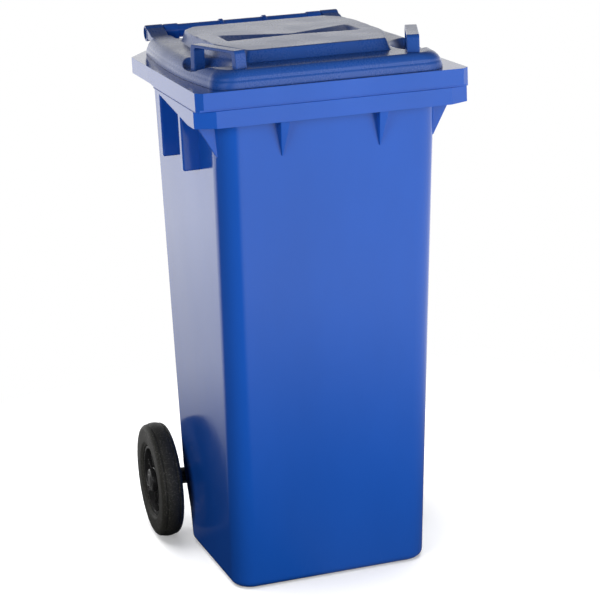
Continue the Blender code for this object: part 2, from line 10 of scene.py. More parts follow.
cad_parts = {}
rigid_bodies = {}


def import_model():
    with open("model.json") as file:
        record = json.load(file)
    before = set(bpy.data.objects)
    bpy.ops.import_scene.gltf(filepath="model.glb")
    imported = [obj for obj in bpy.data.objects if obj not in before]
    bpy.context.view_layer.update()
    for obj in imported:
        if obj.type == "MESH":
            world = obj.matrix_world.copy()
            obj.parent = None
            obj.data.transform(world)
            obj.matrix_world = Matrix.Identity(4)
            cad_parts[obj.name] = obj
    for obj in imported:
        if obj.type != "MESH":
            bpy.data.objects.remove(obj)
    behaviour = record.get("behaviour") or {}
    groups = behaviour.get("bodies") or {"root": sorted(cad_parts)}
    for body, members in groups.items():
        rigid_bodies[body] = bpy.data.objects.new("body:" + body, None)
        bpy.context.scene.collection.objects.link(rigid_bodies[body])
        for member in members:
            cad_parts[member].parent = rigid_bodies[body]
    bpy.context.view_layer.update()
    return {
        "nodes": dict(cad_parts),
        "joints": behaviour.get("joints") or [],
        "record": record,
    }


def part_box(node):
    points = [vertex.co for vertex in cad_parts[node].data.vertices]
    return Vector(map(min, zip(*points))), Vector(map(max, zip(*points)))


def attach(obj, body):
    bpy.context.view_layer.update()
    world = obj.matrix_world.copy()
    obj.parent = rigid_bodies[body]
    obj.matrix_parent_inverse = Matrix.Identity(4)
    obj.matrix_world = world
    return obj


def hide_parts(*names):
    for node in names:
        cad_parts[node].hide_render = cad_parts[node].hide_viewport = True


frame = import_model()

# ---------------------------------------------------------------- sizes, in metres
BODY_LOW, BODY_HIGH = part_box("body_shell")
LID_LOW, LID_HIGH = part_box("lid")
TYRE_LOW, TYRE_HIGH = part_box("tyre_right")
JOINTS = {joint["name"]: joint for joint in frame["joints"]}
_, HINGE_Y, HINGE_Z = JOINTS["lid_hinge"]["pos_m"]
_, AXLE_Y, AXLE_Z = JOINTS["wheel_right_spin"]["pos_m"]

RIM_HALF = BODY_HIGH.x          # half width of the lifting rim
RIM_FRONT = BODY_LOW.y
RIM_REAR = 0.232
RIM_REAR_HALF = 0.184           # half width of the rim at its rear edge
RIM_SIDE_REAR = 0.170           # the rim's sides are parallel up to here
RIM_TOP = 0.875
SKIRT_LOW = 0.819               # lower edge of the deep front skirt
SIDE_SKIRT_LOW = 0.848
GROOVE_LOW = 0.8455
GROOVE_HIGH = 0.8490
WALL = 0.004
TUB_FRONT = (-0.144, -0.238)    # front wall at the floor and at the rim's top
TUB_HALF_FRONT = (0.172, 0.1845)
TUB_HALF_REAR = (0.186, 0.190)
FRONT_CORNER = (0.036, 0.040)
REAR_CORNER = 0.014             # upright rear corners of the tub
TIGHTEST_CORNER = 0.002
STEP_LOW, STEP_HIGH = 0.060, 0.135      # the rear wall steps back over the axle between these
REAR_AT_FLOOR, REAR_BELOW_STEP = 0.112, 0.120
REAR_ABOVE_STEP, REAR_AT_TOP = 0.152, 0.168
# heights at which the walls have a section, closer together near the step
WALL_HEIGHTS = [0.030, 0.052, 0.060, 0.068, 0.100, 0.127, 0.135, 0.143]
WALL_HEIGHTS += [0.18 + 0.062 * step for step in range(12)]
FIN_FRONTS = (-0.1115, 0.0220)  # front faces of the two fins on each side

LUG_INNER, LUG_OUTER = 0.1190, 0.1458   # the lugs and the lid's arms, across the bin
ARM_INNER, ARM_OUTER = 0.1462, 0.1780
GRIP_RADIUS = 0.0118            # push bar
BARREL_RADIUS = 0.0140
PIN_HOLE = 0.0054
BAR_WEB_X = 0.040
BOSS_RADIUS = 0.0190
OUTER_BOSS = (0.148, 0.1758)    # from and to, across the bin
INNER_BOSS = (0.060, 0.072)
AXLE_HOLE = 0.0105

LID_BORDER = 0.903              # flat border of the lid
LID_SHELL = 0.0030
LID_HALF = 0.205                # half width where the bowed lid is widest
LID_WIDEST_Y = -0.045
LID_REAR = 0.206
LID_FRONT_CORNER = 0.036
LID_REAR_CORNER = 0.022
REAR_STEP = 0.893               # lower zone of the lid in front of the push bar
PLATEAU_RISE = 0.0185
PLATEAU_SLOPE = 0.0085
PLATEAU_HALF = ((0.119, -0.188), (0.150, -0.088), (0.154, 0.058), (0.147, 0.118), (0.120, 0.152))
STRAP_FRONT = Vector((0.142, -0.226, 0.0))      # the right handle's feet and the pocket under it
STRAP_REAR = Vector((0.180, -0.118, 0.0))
POCKET = Vector((0.171, -0.138, 0.0))
POCKET_DEPTH = 0.0135
POCKET_HALF_LENGTH = 0.068
POCKET_HALF_WIDTH = 0.0345

WHEEL_MIDDLE = (TYRE_LOW.x + TYRE_HIGH.x) / 2
WHEEL_RADIUS = (TYRE_HIGH.z - TYRE_LOW.z) / 2
TYRE_HALF = (TYRE_HIGH.x - TYRE_LOW.x) / 2
TYRE_BORE = 0.0640

CAMERA_ANGLES = (-17.18, 16.06, -2.70)  # azimuth, elevation and roll, in degrees
CAMERA_TARGET = Vector((0.0, -0.027, 0.450))
CAMERA_DISTANCE = 3.169
CAMERA_LEFT = 0.0023
CAMERA_UP = 0.0129
DARK_FLAT = (-0.920, -0.390, 0.0)       # direction of the dark flat at the front left
STUDIO_BACK = (-0.3, 0.954, 0.0)

SCENE = bpy.context.scene


# ---------------------------------------------------------------- mesh helpers
def add_object(name, mesh):
    """Object in the scene with this mesh."""
    obj = bpy.data.objects.new(name, mesh)
    SCENE.collection.objects.link(obj)
    return obj


def from_bmesh(name, bm):
    """Object from a bmesh, with its faces pointing out; the bmesh is used up."""
    bmesh.ops.recalc_face_normals(bm, faces=bm.faces)
    mesh = bpy.data.meshes.new(name)
    bm.to_mesh(mesh)
    bm.free()
    return add_object(name, mesh)


def loft(name, rings):
    """Closed solid through rings of equal point count."""
    bm = bmesh.new()
    rows = [[bm.verts.new(point) for point in ring] for ring in rings]
    count = len(rows[0])
    for low, high in zip(rows, rows[1:]):
        for i in range(count):
            j = (i + 1) % count
            bm.faces.new((low[i], low[j], high[j], high[i]))
    bm.faces.new(list(reversed(rows[0])))
    bm.faces.new(rows[-1])
    return from_bmesh(name, bm)


def block(name, low, high):
    """Box between two corners."""
    bm = bmesh.new()
    size = [top - bottom for bottom, top in zip(low, high)]
    middle = [(bottom + top) / 2 for bottom, top in zip(low, high)]
    shape = Matrix.Translation(middle) @ Matrix.Diagonal((*size, 1.0))
    bmesh.ops.create_cube(bm, size=1.0, matrix=shape)
    return from_bmesh(name, bm)


def prism(name, x0, x1, outline):
    """Solid across X from a (y, z) outline."""
    return loft(name, [[(x, y, z) for y, z in outline] for x in (x0, x1)])


def turned(name, profile, sign, y, z, segments):
    """Ring or knob turned about an axis along X, from (radius, distance outboard) points."""
    closed = profile[0][0] > 0.0
    turns = [2 * math.pi * step / segments for step in range(segments)]
    circle = [(math.cos(turn), math.sin(turn)) for turn in turns]
    bm = bmesh.new()
    rings = []
    for radius, distance in profile:
        x = sign * distance
        if radius == 0.0:
            rings.append([bm.verts.new((x, y, z))])
        else:
            rings.append([bm.verts.new((x, y + radius * c, z + radius * s)) for c, s in circle])
    pairs = list(zip(rings, rings[1:]))
    if closed:
        pairs.append((rings[-1], rings[0]))
    for ring, following in pairs:
        for i in range(segments):
            j = (i + 1) % segments
            if len(ring) == 1:
                bm.faces.new((ring[0], following[j], following[i]))
            elif len(following) == 1:
                bm.faces.new((ring[i], ring[j], following[0]))
            else:
                bm.faces.new((ring[i], ring[j], following[j], following[i]))
    return from_bmesh(name, bm)


def rod(name, radius, near, far, sign, y, z, segments):
    """Plain round bar about an axis along X; most of them are cutters."""
    profile = [(0.0, far), (radius, far), (radius, near), (0.0, near)]
    return turned(name, profile, sign, y, z, segments)


def work_out(obj):
    """Replace the object's mesh by what its modifiers give."""
    graph = bpy.context.evaluated_depsgraph_get()
    mesh = bpy.data.meshes.new_from_object(obj.evaluated_get(graph))
    obj.modifiers.clear()
    obj.data = mesh
    return obj


def soften(obj, width, segments, angle=28.0):
    """Round every sharp edge."""
    bevel = obj.modifiers.new("soften", 'BEVEL')
    bevel.width = width
    bevel.segments = segments
    bevel.limit_method = 'ANGLE'
    bevel.angle_limit = math.radians(angle)
    bevel.use_clamp_overlap = True
    bevel.miter_outer = 'MITER_ARC'
    return work_out(obj)


def combine(target, tools, operation):
    """Union or difference of the target with several closed tools, which are used up."""
    group = bpy.data.collections.new("tools")
    SCENE.collection.children.link(group)
    for tool in tools:
        group.objects.link(tool)
    mod = target.modifiers.new("combine", 'BOOLEAN')
    mod.operation = operation
    mod.solver = 'EXACT'
    mod.operand_type = 'COLLECTION'
    mod.collection = group
    work_out(target)
    for tool in tools:
        bpy.data.objects.remove(tool)
    bpy.data.collections.remove(group)


def join(name, objects):
    """One object from several, whose meshes stay separate shells."""
    bm = bmesh.new()
    for obj in objects:
        bm.from_mesh(obj.data)
        bpy.data.objects.remove(obj)
    mesh = bpy.data.meshes.new(name)
    bm.to_mesh(mesh)
    bm.free()
    return add_object(name, mesh)


def finish_surface(obj, sharp_angle):
    """Smooth shading that keeps flat faces flat."""
    obj.data.shade_smooth()
    obj.data.set_sharp_from_angle(angle=math.radians(sharp_angle))
    mod = obj.modifiers.new("normals", 'WEIGHTED_NORMAL')
    mod.keep_sharp = True
    work_out(obj)


def place(obj, name, body, slot, replaced):
    """Name the finished piece, give it its material and hang it on its body."""
    obj.name = name
    obj.data.name = name
    obj.data.materials.clear()
    obj.data.materials.append(MATERIALS[slot])
    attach(obj, body)
    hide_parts(*replaced)


# ---------------------------------------------------------------- materials
def ramp(tree, source, low, high, low_value, high_value, smooth=False):
    """Map a signal from low..high onto low_value..high_value, clamped."""
    made = tree.nodes.new("ShaderNodeMapRange")
    if smooth:
        made.interpolation_type = 'SMOOTHSTEP'
    made.inputs["From Min"].default_value = low
    made.inputs["From Max"].default_value = high
    made.inputs["To Min"].default_value = low_value
    made.inputs["To Max"].default_value = high_value
    tree.links.new(source, made.inputs["Value"])
    return made.outputs["Result"]


def noise(tree, coords, scale, detail=3.0, rough=0.5, stretch=(1.0, 1.0, 1.0)):
    """Noise signal; a stretch below 1 draws it out along that axis."""
    mapping = tree.nodes.new("ShaderNodeMapping")
    mapping.inputs["Scale"].default_value = stretch
    tree.links.new(coords, mapping.inputs["Vector"])
    made = tree.nodes.new("ShaderNodeTexNoise")
    made.inputs["Scale"].default_value = scale
    made.inputs["Detail"].default_value = detail
    made.inputs["Roughness"].default_value = rough
    tree.links.new(mapping.outputs["Vector"], made.inputs["Vector"])
    return made.outputs["Fac"]


def mix_colour(tree, factor, a, b):
    """Mix two colours; each argument is a socket or a value."""
    made = tree.nodes.new("ShaderNodeMix")
    made.data_type = 'RGBA'
    for socket, value in (("Factor", factor), ("A", a), ("B", b)):
        target = [s for s in made.inputs if s.name == socket and s.enabled][0]
        if isinstance(value, bpy.types.NodeSocket):
            tree.links.new(value, target)
        else:
            target.default_value = value
    return [s for s in made.outputs if s.enabled][0]


def maths(tree, operation, a, b):
    """Math node; each argument is a socket or a number."""
    made = tree.nodes.new("ShaderNodeMath")
    made.operation = operation
    for index, value in enumerate((a, b)):
        if isinstance(value, bpy.types.NodeSocket):
            tree.links.new(value, made.inputs[index])
        else:
            made.inputs[index].default_value = value
    return made.outputs["Value"]


def vector_maths(tree, operation, vector, second=None):
    """Vector Math node on a socket and a fixed vector; gives the node's outputs."""
    made = tree.nodes.new("ShaderNodeVectorMath")
    made.operation = operation
    tree.links.new(vector, made.inputs[0])
    if second is not None:
        made.inputs[1].default_value = second
    return made.outputs


def bump(tree, height, strength, distance, normal=None):
    """Normal from a height signal, on top of another normal if one is given."""
    made = tree.nodes.new("ShaderNodeBump")
    made.inputs["Strength"].default_value = strength
    made.inputs["Distance"].default_value = distance
    tree.links.new(height, made.inputs["Height"])
    if normal is not None:
        tree.links.new(normal, made.inputs["Normal"])
    return made.outputs["Normal"]


def new_material(name):
    """Material with its node tree, its shader and its object coordinates."""
    mat = bpy.data.materials.new(name)
    mat.use_nodes = True
    tree = mat.node_tree
    shader = tree.nodes["Principled BSDF"]
    coords = tree.nodes.new("ShaderNodeTexCoord").outputs["Object"]
    return mat, tree, shader, coords


def moulded_polyethylene(name, colour, roughness):
    """Glossy moulded plastic: slight colour flow, fine grain, sink marks, rubbed edges, scuffed foot."""
    mat, tree, shader, coords = new_material(name)
    flow = noise(tree, coords, 5.0, 4.0, 0.6, (1.0, 1.0, 0.35))
    deep = (*[c * 0.93 for c in colour], 1.0)
    light = (*[min(1.0, c * 1.06) for c in colour], 1.0)
    base = mix_colour(tree, ramp(tree, flow, 0.3, 0.7, 0.0, 1.0), deep, light)
    edges = tree.nodes.new("ShaderNodeNewGeometry").outputs["Pointiness"]
    worn = ramp(tree, edges, 0.54, 0.66, 0.0, 0.16)
    patches = ramp(tree, noise(tree, coords, 38.0, 4.0), 0.45, 0.65, 0.0, 1.0)
    pale = (colour[0] + 0.05, colour[1] + 0.09, colour[2] + 0.12, 1.0)
    base = mix_colour(tree, maths(tree, 'MULTIPLY', worn, patches), base, pale)
    split = tree.nodes.new("ShaderNodeSeparateXYZ")
    tree.links.new(coords, split.inputs["Vector"])
    foot = ramp(tree, split.outputs["Z"], 0.0, 0.075, 1.0, 0.0)
    scratches = noise(tree, coords, 160.0, 5.0, 0.7, (1.0, 1.0, 0.18))
    scuffs = ramp(tree, scratches, 0.56, 0.74, 0.0, 0.10)
    base = mix_colour(tree, maths(tree, 'MULTIPLY', foot, scuffs), base, pale)
    tree.links.new(base, shader.inputs["Base Color"])
    cloud = noise(tree, coords, 11.0, 5.0, 0.6)
    cloud = ramp(tree, cloud, 0.3, 0.7, roughness - 0.035, roughness + 0.045)
    grit = ramp(tree, noise(tree, coords, 420.0, 2.0), 0.35, 0.65, -0.02, 0.02)
    tree.links.new(maths(tree, 'ADD', cloud, grit), shader.inputs["Roughness"])
    waves = bump(tree, noise(tree, coords, 7.0, 2.0, 0.4, (1.0, 1.0, 0.6)), 0.16, 0.004)
    grain = bump(tree, noise(tree, coords, 1500.0, 2.0, 0.6), 0.06, 0.0002, waves)
    tree.links.new(grain, shader.inputs["Normal"])
    shader.inputs["IOR"].default_value = 1.50
    return mat


def moulded_black(name, colour, roughness, grain_scale):
    """Black injection-moulded plastic with a fine spark-eroded grain and dusty patches."""
    mat, tree, shader, coords = new_material(name)
    flow = noise(tree, coords, 24.0, 5.0, 0.6)
    dust = (colour[0] + 0.020, colour[1] + 0.019, colour[2] + 0.018, 1.0)
    base = mix_colour(tree, ramp(tree, flow, 0.45, 0.80, 0.0, 0.8), (*colour, 1.0), dust)
    tree.links.new(base, shader.inputs["Base Color"])
    cloud = ramp(tree, noise(tree, coords, 60.0, 4.0), 0.3, 0.7, roughness - 0.06, roughness + 0.08)
    tree.links.new(cloud, shader.inputs["Roughness"])
    grain = bump(tree, noise(tree, coords, grain_scale, 3.0, 0.6), 0.22, 0.0003)
    tree.links.new(grain, shader.inputs["Normal"])
    shader.inputs["IOR"].default_value = 1.49
    return mat


def tyre_rubber(name):
    """Solid rubber: matt, faintly bloomed, pitted and speckled with dust."""
    mat, tree, shader, coords = new_material(name)
    bloom = noise(tree, coords, 36.0, 6.0, 0.65)
    base = mix_colour(tree, ramp(tree, bloom, 0.35, 0.75, 0.0, 1.0),
                      (0.022, 0.022, 0.019, 1.0), (0.045, 0.044, 0.039, 1.0))
    speck = ramp(tree, noise(tree, coords, 330.0, 3.0, 0.7), 0.54, 0.66, 0.0, 0.8)
    base = mix_colour(tree, speck, base, (0.120, 0.117, 0.105, 1.0))
    tree.links.new(base, shader.inputs["Base Color"])
    cloud = ramp(tree, bloom, 0.3, 0.7, 0.50, 0.68)
    tree.links.new(cloud, shader.inputs["Roughness"])
    pits = bump(tree, noise(tree, coords, 1100.0, 4.0, 0.7), 0.40, 0.0004)
    tree.links.new(pits, shader.inputs["Normal"])
    shader.inputs["IOR"].default_value = 1.52
    return mat


def zinc_plate(name):
    """Bright zinc on turned steel: faint spangle, lathe lines and dull patches."""
    mat, tree, shader, coords = new_material(name)
    cells = tree.nodes.new("ShaderNodeTexVoronoi")
    cells.inputs["Scale"].default_value = 260.0
    tree.links.new(coords, cells.inputs["Vector"])
    spangle = ramp(tree, cells.outputs["Distance"], 0.0, 0.7, 0.0, 1.0)
    base = mix_colour(tree, spangle, (0.50, 0.50, 0.51, 1.0), (0.66, 0.66, 0.67, 1.0))
    dull = ramp(tree, noise(tree, coords, 70.0, 4.0), 0.45, 0.7, 0.0, 0.6)
    base = mix_colour(tree, dull, base, (0.40, 0.39, 0.37, 1.0))
    tree.links.new(base, shader.inputs["Base Color"])
    tree.links.new(ramp(tree, dull, 0.0, 0.6, 0.26, 0.44), shader.inputs["Roughness"])
    lines = bump(tree, noise(tree, coords, 900.0, 2.0, 0.5, (1.0, 0.06, 0.06)), 0.12, 0.0002)
    tree.links.new(lines, shader.inputs["Normal"])
    shader.inputs["Metallic"].default_value = 1.0
    return mat


# linear colours
BODY_BLUE = (0.0090, 0.086, 0.45)
LID_BLUE = (0.0150, 0.073, 0.32)
MATERIALS = {
    "body_plastic": moulded_polyethylene("body_polyethylene", BODY_BLUE, 0.12),
    "lid_plastic": moulded_polyethylene("lid_polyethylene", LID_BLUE, 0.27),
    "tyre_rubber": tyre_rubber("solid_rubber"),
    "wheel_plastic": moulded_black("wheel_plastic", (0.014, 0.014, 0.015), 0.24, 1300.0),
    "bush_plastic": moulded_black("bush_nylon", (0.05, 0.05, 0.055), 0.42, 900.0),
    "zinc_steel": zinc_plate("zinc_plate"),
}
SLOT_OF = {part["node"]: part["material_slot"] for part in frame["record"]["subparts"]}


def give_frame_materials():
    """Every carried-over part gets the finished material of its slot."""
    for name, obj in frame["nodes"].items():
        obj.data.materials.clear()
        obj.data.materials.append(MATERIALS[SLOT_OF[name]])


# ---------------------------------------------------------------- body
def lerp(a, b, t):
    """Value between a at t = 0 and b at t = 1."""
    return a + (b - a) * t


def rear_wall(z):
    """Where the rear wall is at height z; it steps back over the axle."""
    if z < STEP_LOW:
        return lerp(REAR_AT_FLOOR, REAR_BELOW_STEP, z / STEP_LOW)
    if z < STEP_HIGH:
        return lerp(REAR_BELOW_STEP, REAR_ABOVE_STEP, (z - STEP_LOW) / (STEP_HIGH - STEP_LOW))
    return lerp(REAR_ABOVE_STEP, REAR_AT_TOP, (z - STEP_HIGH) / (RIM_TOP - STEP_HIGH))


def wall_section(z, inset=0.0, steps=12):
    """Rounded trapezoid of the tub at height z."""
    t = z / RIM_TOP
    front = lerp(*TUB_FRONT, t) + inset
    rear = rear_wall(z) - inset
    half_front = lerp(*TUB_HALF_FRONT, t) - inset
    half_rear = lerp(*TUB_HALF_REAR, t) - inset
    front_radius = max(lerp(*FRONT_CORNER, t) - inset, TIGHTEST_CORNER)
    rear_radius = max(REAR_CORNER - inset, TIGHTEST_CORNER)
    slope = (half_rear - half_front) / (rear - front)
    front_centre = front + front_radius
    rear_centre = rear - rear_radius
    corners = ((1, front_centre, front_radius, -90), (1, rear_centre, rear_radius, 0),
               (-1, rear_centre, rear_radius, 90), (-1, front_centre, front_radius, 180))
    points = []
    for side, cy, radius, start in corners:
        cx = side * (half_front + slope * (cy - front) - radius)
        for step in range(steps + 1):
            angle = math.radians(start + 90 * step / steps)
            points.append((cx + radius * math.cos(angle), cy + radius * math.sin(angle), z))
    return points


def tub_solid():
    """Outside of the tub, with a rounded foot."""
    foot = 0.013
    steps = 8
    rings = []
    for step in range(steps, -1, -1):
        angle = math.pi / 2 * step / steps
        rings.append(wall_section(foot * (1 - math.sin(angle)), foot * (1 - math.cos(angle))))
    return loft("tub", rings + [wall_section(z) for z in WALL_HEIGHTS])


def tub_hollow():
    """Inside of the tub, with a rounded edge to its floor and a rounded lip at its mouth."""
    floor = 0.012
    floor_round, floor_steps = 0.010, 6
    lip, lip_steps = 0.0018, 4
    rings = []
    for step in range(floor_steps + 1):
        angle = math.pi / 2 * step / floor_steps
        z = floor + floor_round * (1 - math.cos(angle))
        rings.append(wall_section(z, WALL + floor_round * (1 - math.sin(angle))))
    rings += [wall_section(z, WALL) for z in WALL_HEIGHTS[1:]]
    for step in range(lip_steps + 1):
        angle = math.pi / 2 * step / lip_steps
        z = RIM_TOP - lip + lip * math.sin(angle)
        rings.append(wall_section(z, WALL - lip * (1 - math.cos(angle))))
    rings.append(wall_section(RIM_TOP + 0.004, WALL - lip))
    return loft("tub_hollow", rings)


def rim_outline(z, half_width, front, chamfer_x, chamfer_y, inset=0.0):
    """Plan of the rim at height z, with chamfered corners at the front and drawn in at the rear."""
    side = half_width - inset
    half = [(side - chamfer_x, front + inset), (side, front + inset + chamfer_y), (side, RIM_SIDE_REAR),
            (RIM_REAR_HALF - inset * 0.4, RIM_REAR - inset)]
    left = [(-x, y) for x, y in reversed(half)]
    return [(x, y, z) for x, y in half + left]


def rim_solid():
    """Inverted channel around the mouth: two front bands with a groove between, open underneath."""
    upper = (RIM_HALF - 0.0015, RIM_FRONT, 0.011, 0.010)
    groove = (RIM_HALF - 0.0015, RIM_FRONT + 0.0050, 0.0055, 0.0050)
    lower = (RIM_HALF, RIM_FRONT + 0.0025, 0.032, 0.016)
    inside = (RIM_HALF, RIM_FRONT + 0.0050, 0.031, 0.018)
    step = 0.0002
    levels = ((SKIRT_LOW, lower), (GROOVE_LOW, lower), (GROOVE_LOW + step, groove),
              (GROOVE_HIGH, groove), (GROOVE_HIGH + step, upper), (RIM_TOP, upper))
    rim = loft("rim", [rim_outline(z, *plan) for z, plan in levels])
    hollow_ends = (SKIRT_LOW - 0.01, RIM_TOP - WALL)
    hollow = loft("rim_hollow", [rim_outline(z, *inside, inset=WALL) for z in hollow_ends])
    deep_end, shallow_start = -0.206, 0.036     # the skirt's lower edge rises between these
    past, below = 0.300, SKIRT_LOW - 0.02
    under = prism("under_sides", -past, past, [
        (deep_end, below), (past, below), (past, SIDE_SKIRT_LOW),
        (shallow_start, SIDE_SKIRT_LOW), (deep_end, SKIRT_LOW - 0.0001)])
    notch_half = LUG_INNER + 0.0015
    notch = block("notch", (-notch_half, 0.198, 0.80), (notch_half, past, 0.90))
    for tool in (hollow, under, notch):
        combine(rim, [tool], 'DIFFERENCE')
    return soften(rim, 0.0010, 3, 24.0)


def level(x0, x1, y0, y1, z):
    """Rectangle at height z."""
    return [(x0, y0, z), (x1, y0, z), (x1, y1, z), (x0, y1, z)]


def side_fin(sign, y):
    """Upright fin under the side of the rim, with its front face at y."""
    thickness = 0.0165
    wall, outer = sorted((sign * 0.180, sign * 0.2125))
    fin = block("fin", (wall, y, 0.7270), (outer, y + thickness, 0.8600))
    return soften(fin, 0.0030, 4)


def front_wedge(sign):
    """Rib under the front skirt, wider and deeper upwards."""
    middle = sign * 0.081
    low_half, high_half = 0.0012, 0.0098
    root = -0.2150
    wedge = loft("wedge", [level(middle - low_half, middle + low_half, -0.2275, root, 0.760),
                           level(middle - high_half, middle + high_half, -0.2588, root, 0.832)])
    return soften(wedge, 0.0012, 3)


def corner_gusset(sign):
    """Flat gusset between the tub's front corner and the rim."""
    root = sign * 0.150
    front, rear = -0.2045, -0.1985
    gusset = loft("gusset", [level(root, sign * 0.1806, front, rear, 0.763),
                             level(root, sign * 0.2205, front, rear, 0.835)])
    return soften(gusset, 0.0012, 3)


def hinge_lug(sign):
    """Web and barrel that hold a hinge pin."""
    x0, x1 = sorted((sign * LUG_INNER, sign * LUG_OUTER))
    root, under = 0.190, 0.852
    web = prism("lug", x0 + 0.0006, x1 - 0.0006, [
        (root, under), (0.2300, under), (HINGE_Y - 0.004, HINGE_Z - 0.0300),
        (HINGE_Y + 0.0120, HINGE_Z - 0.0060), (HINGE_Y + 0.0120, HINGE_Z + 0.0060),
        (HINGE_Y - 0.0120, HINGE_Z + 0.0060), (HINGE_Y - 0.0160, RIM_TOP - 0.001),
        (root, RIM_TOP - 0.001)])
    soften(web, 0.0012, 3)
    barrel = turned("lug_barrel", [
        (0.0, LUG_OUTER), (BARREL_RADIUS - 0.0022, LUG_OUTER),
        (BARREL_RADIUS - 0.0010, LUG_OUTER - 0.0006), (BARREL_RADIUS - 0.0005, LUG_OUTER - 0.0018),
        (BARREL_RADIUS - 0.0005, LUG_INNER + 0.0018), (BARREL_RADIUS - 0.0010, LUG_INNER + 0.0006),
        (BARREL_RADIUS - 0.0022, LUG_INNER), (0.0, LUG_INNER)], sign, HINGE_Y, HINGE_Z, 48)
    return web, barrel


def push_bar():
    """Round grip bar between the two lugs."""
    end = LUG_INNER + 0.0040
    return rod("push_bar", GRIP_RADIUS, -end, end, 1, HINGE_Y, HINGE_Z, 48)


def bar_web(x):
    """Web that ties the push bar to the rim, and its collar round the bar."""
    root, half = 0.160, 0.0030
    web = prism("web", x - half, x + half, [
        (root, 0.835), (0.205, 0.845), (HINGE_Y, HINGE_Z - 0.0125),
        (HINGE_Y - 0.0130, HINGE_Z - 0.0020), (0.2110, RIM_TOP - 0.0015), (root, RIM_TOP - 0.0015)])
    soften(web, 0.0010, 2)
    collar_half, radius, edge = 0.0036, 0.0145, 0.0010
    collar = turned("collar", [
        (0.0, x + collar_half), (radius - edge, x + collar_half), (radius, x + collar_half - edge),
        (radius, x - collar_half + edge), (radius - edge, x - collar_half), (0.0, x - collar_half)],
        1, HINGE_Y, HINGE_Z, 48)
    return web, collar


def axle_boss(sign, near, far):
    """Plate that stands out from the rear wall, and the round boss that the axle passes through."""
    x0, x1 = sorted((sign * near, sign * far))
    web = prism("boss_plate", x0 + 0.0005, x1 - 0.0005, [
        (0.105, 0.070), (AXLE_Y, AXLE_Z - BOSS_RADIUS), (AXLE_Y, AXLE_Z + BOSS_RADIUS), (0.140, 0.165)])
    soften(web, 0.0012, 2)
    edge = 0.0015
    boss = turned("boss", [
        (0.0, far), (BOSS_RADIUS - edge, far), (BOSS_RADIUS, far - edge),
        (BOSS_RADIUS, near + edge), (BOSS_RADIUS - edge, near), (0.0, near)], sign, AXLE_Y, AXLE_Z, 48)
    return web, boss


def base_recess():
    """Shallow panel sunk into the underside."""
    depth = 0.005
    border = 0.030
    rings = [wall_section(-0.004, border), wall_section(0.0, border)]
    for z, inset in ((depth - 0.0015, 0.032), (depth, 0.0345)):
        rings.append([(x, y, z) for x, y, _ in wall_section(0.0, inset)])
    return loft("recess", rings)


def build_body():
    """Tub, rim, ribs, lugs, push bar and bosses as one hollow moulding."""
    body = tub_solid()
    combine(body, [rim_solid()], 'UNION')
    ribs = [front_wedge(sign) for sign in (-1, 1)] + [corner_gusset(sign) for sign in (-1, 1)]
    ribs += [side_fin(sign, y) for sign in (-1, 1) for y in FIN_FRONTS]
    combine(body, ribs, 'UNION')
    webs, barrels = [], []
    for sign in (-1, 1):
        for web, barrel in (hinge_lug(sign), bar_web(sign * BAR_WEB_X),
                            axle_boss(sign, *OUTER_BOSS), axle_boss(sign, *INNER_BOSS)):
            webs.append(web)
            barrels.append(barrel)
    combine(body, webs, 'UNION')
    combine(body, barrels, 'UNION')
    combine(body, [push_bar()], 'UNION')
    combine(body, [tub_hollow()], 'DIFFERENCE')
    holes = [rod("axle_hole", AXLE_HOLE, -0.20, 0.20, 1, AXLE_Y, AXLE_Z, 48), base_recess()]
    for sign in (-1, 1):
        holes.append(rod("pin_hole", PIN_HOLE, LUG_INNER - 0.0005, LUG_OUTER + 0.002,
                         sign, HINGE_Y, HINGE_Z, 32))
    combine(body, holes, 'DIFFERENCE')
    finish_surface(body, 34.0)
    place(body, "moulded_body", "bin", "body_plastic", ["body_shell"])


# ---------------------------------------------------------------- lid
def lid_half_width(y):
    """Half width of the bowed lid."""
    bow = np.where(y < LID_WIDEST_Y, 0.45, 0.24)
    return LID_HALF - bow * (y - LID_WIDEST_Y) ** 2


def side_path(front_in, side_in, rear_in):
    """Right side of the lid's outline, from the middle of the front corner to that of the rear one."""
    front = LID_LOW.y + front_in
    rear = LID_REAR - rear_in
    front_centre = front + LID_FRONT_CORNER
    rear_centre = rear - LID_REAR_CORNER
    cx = float(lid_half_width(front_centre)) - side_in - LID_FRONT_CORNER
    start = [(cx + LID_FRONT_CORNER * math.cos(a), front_centre + LID_FRONT_CORNER * math.sin(a))
             for a in np.radians(np.linspace(-45, 0, 16))]
    ys = np.linspace(front_centre, rear_centre, 60)[1:]
    along = [(float(lid_half_width(y)) - side_in, float(y)) for y in ys]
    ex = float(lid_half_width(rear_centre)) - side_in - LID_REAR_CORNER
    end = [(ex + LID_REAR_CORNER * math.cos(a), rear_centre + LID_REAR_CORNER * math.sin(a))
           for a in np.radians(np.linspace(0, 45, 12))][1:]
    return np.array(start + along + end)


def end_path(front_in, side_in, rear_in, at_front):
    """Front or rear stretch of the outline, from the left corner's middle to the right one's."""
    if at_front:
        corner, sweep = LID_FRONT_CORNER, (-45, -90)
        cy = LID_LOW.y + front_in + corner
    else:
        corner, sweep = LID_REAR_CORNER, (45, 90)
        cy = LID_REAR - rear_in - corner
    cx = float(lid_half_width(cy)) - side_in - corner
    right = [(cx + corner * math.cos(a), cy + corner * math.sin(a))
             for a in np.radians(np.linspace(*sweep, 16))]
    left = [(-x, y) for x, y in right]
    return np.array(left + right[::-1])


def resample(path, count):
    """Points spread evenly along a polyline."""
    steps = np.concatenate([[0.0], np.cumsum(np.linalg.norm(np.diff(path, axis=0), axis=1))])
    at = np.linspace(0.0, steps[-1], count + 1)
    return np.stack([np.interp(at, steps, path[:, k]) for k in (0, 1)], axis=1)


